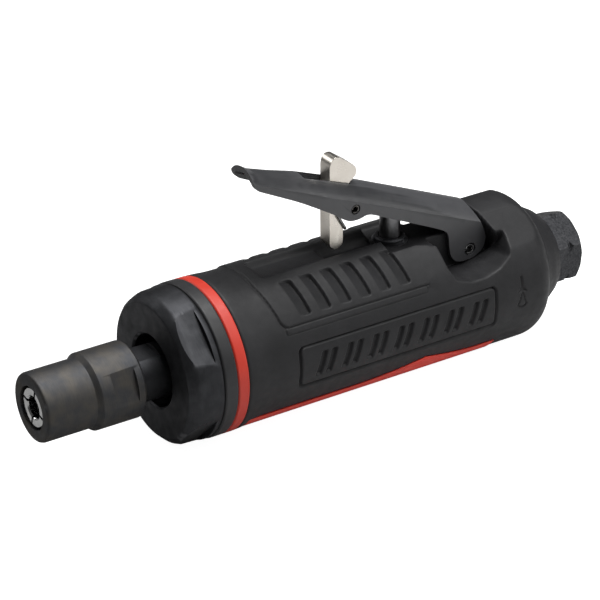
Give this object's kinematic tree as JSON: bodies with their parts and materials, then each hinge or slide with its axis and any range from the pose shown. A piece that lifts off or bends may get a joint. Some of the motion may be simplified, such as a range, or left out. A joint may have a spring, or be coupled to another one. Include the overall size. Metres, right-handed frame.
{
  "type": "die grinder",
  "caption": "Straight air die grinder with a spring collet nose, knurl-free round grip, guarded throttle lever and rear hex air inlet.",
  "frame": {"origin": "centre of the collet nut's front face, on the spindle axis", "axes": "+X along the spindle axis from the nose to the air inlet, +Z towards the throttle lever, -Y is the left side of the tool seen from its tail"},
  "size_m": [0.1768, 0.0444, 0.0755],
  "materials": {
    "grip_composite": "fine matte moulded texture",
    "accent_red": "satin moulded",
    "black_oxide_steel": "black oxide, satin",
    "phosphate_steel": "mottled dark phosphate, semi-gloss",
    "lever_coat": "satin powder coat",
    "bright_nickel": "brushed nickel plate",
    "bright_steel": "ground",
    "spring_steel": "oil tempered wire",
    "cast_aluminium": "machined casting",
    "brass": "satin",
    "seal_rubber": "matte",
    "blade_composite": "woven phenolic",
    "felt": "needled felt"
  },
  "bodies": {
    "housing": {"front_cap": "black_oxide_steel", "spacer_ring": "grip_composite", "accent_ring": "accent_red", "front_end_plate": "bright_steel", "front_bearing_outer": "bright_steel", "motor_liner": "bright_steel", "liner_dowel": "bright_steel", "rear_end_plate": "bright_steel", "rear_bearing_outer": "bright_steel", "preload_washer": "spring_steel", "motor_housing": "cast_aluminium", "grip_shell": "grip_composite", "belly_inlay": "accent_red", "lever_pin": "bright_steel", "valve_bushing": "bright_steel", "plunger_oring": "seal_rubber", "bushing_oring": "seal_rubber", "valve_spring": "spring_steel", "inlet_bushing": "black_oxide_steel", "inlet_washer": "brass", "inlet_screen": "brass", "exhaust_collar": "grip_composite", "exhaust_felt": "felt"},
    "spindle": {"collet_body": "phosphate_steel", "rotor": "bright_steel", "rotor_blades": "blade_composite", "front_bearing_inner": "bright_steel", "rear_bearing_inner": "bright_steel"},
    "front_cage": {"front_bearing_balls": "bright_steel", "front_bearing_cage": "brass"},
    "rear_cage": {"rear_bearing_balls": "bright_steel", "rear_bearing_cage": "brass"},
    "collet": {"collet": "bright_steel"},
    "nut": {"collet_nut": "phosphate_steel"},
    "lever": {"throttle_lever": "lever_coat", "latch_pin": "bright_steel"},
    "latch": {"lock_latch": "bright_nickel", "latch_spring": "spring_steel"},
    "plunger": {"throttle_plunger": "bright_nickel", "valve_seal": "seal_rubber"}
  },
  "joints": [
    {"name": "spindle_spin", "type": "hinge", "parent": "housing", "child": "spindle", "pos_m": [0.08, 0, 0], "axis": [1, 0, 0], "continuous": true},
    {"name": "front_cage_spin", "type": "hinge", "parent": "housing", "child": "front_cage", "pos_m": [0.0565, 0, 0], "axis": [1, 0, 0], "continuous": true},
    {"name": "rear_cage_spin", "type": "hinge", "parent": "housing", "child": "rear_cage", "pos_m": [0.103, 0, 0], "axis": [1, 0, 0], "continuous": true},
    {"name": "collet_slide", "type": "slide", "parent": "spindle", "child": "collet", "axis": [-1, 0, 0], "range_m": [0, 0.0015]},
    {"name": "nut_turn", "type": "hinge", "parent": "collet", "child": "nut", "pos_m": [0.015, 0, 0], "axis": [-1, 0, 0], "range_deg": [0, 540]},
    {"name": "lever_press", "type": "hinge", "parent": "housing", "child": "lever", "pos_m": [0.1381, 0, 0.0119], "axis": [0, -1, 0], "range_deg": [0, 12]},
    {"name": "latch_fold", "type": "hinge", "parent": "lever", "child": "latch", "pos_m": [0.0987, 0, 0.035], "axis": [0, -1, 0], "range_deg": [0, 80.5]},
    {"name": "plunger_press", "type": "slide", "parent": "housing", "child": "plunger", "axis": [0, 0, -1], "range_m": [0, 0.0066], "deforming": ["valve_spring"]}
  ],
  "couplings": [
    {"joint": "front_cage_spin", "follows": "spindle_spin", "ratio": 0.368},
    {"joint": "rear_cage_spin", "follows": "spindle_spin", "ratio": 0.36},
    {"joint": "nut_turn", "follows": "collet_slide", "rad_per_m": 6283.1},
    {"joint": "latch_fold", "follows": "lever_press", "ratio": 6.6667},
    {"joint": "plunger_press", "follows": "lever_press", "m_per_rad": 0.0312}
  ]
}
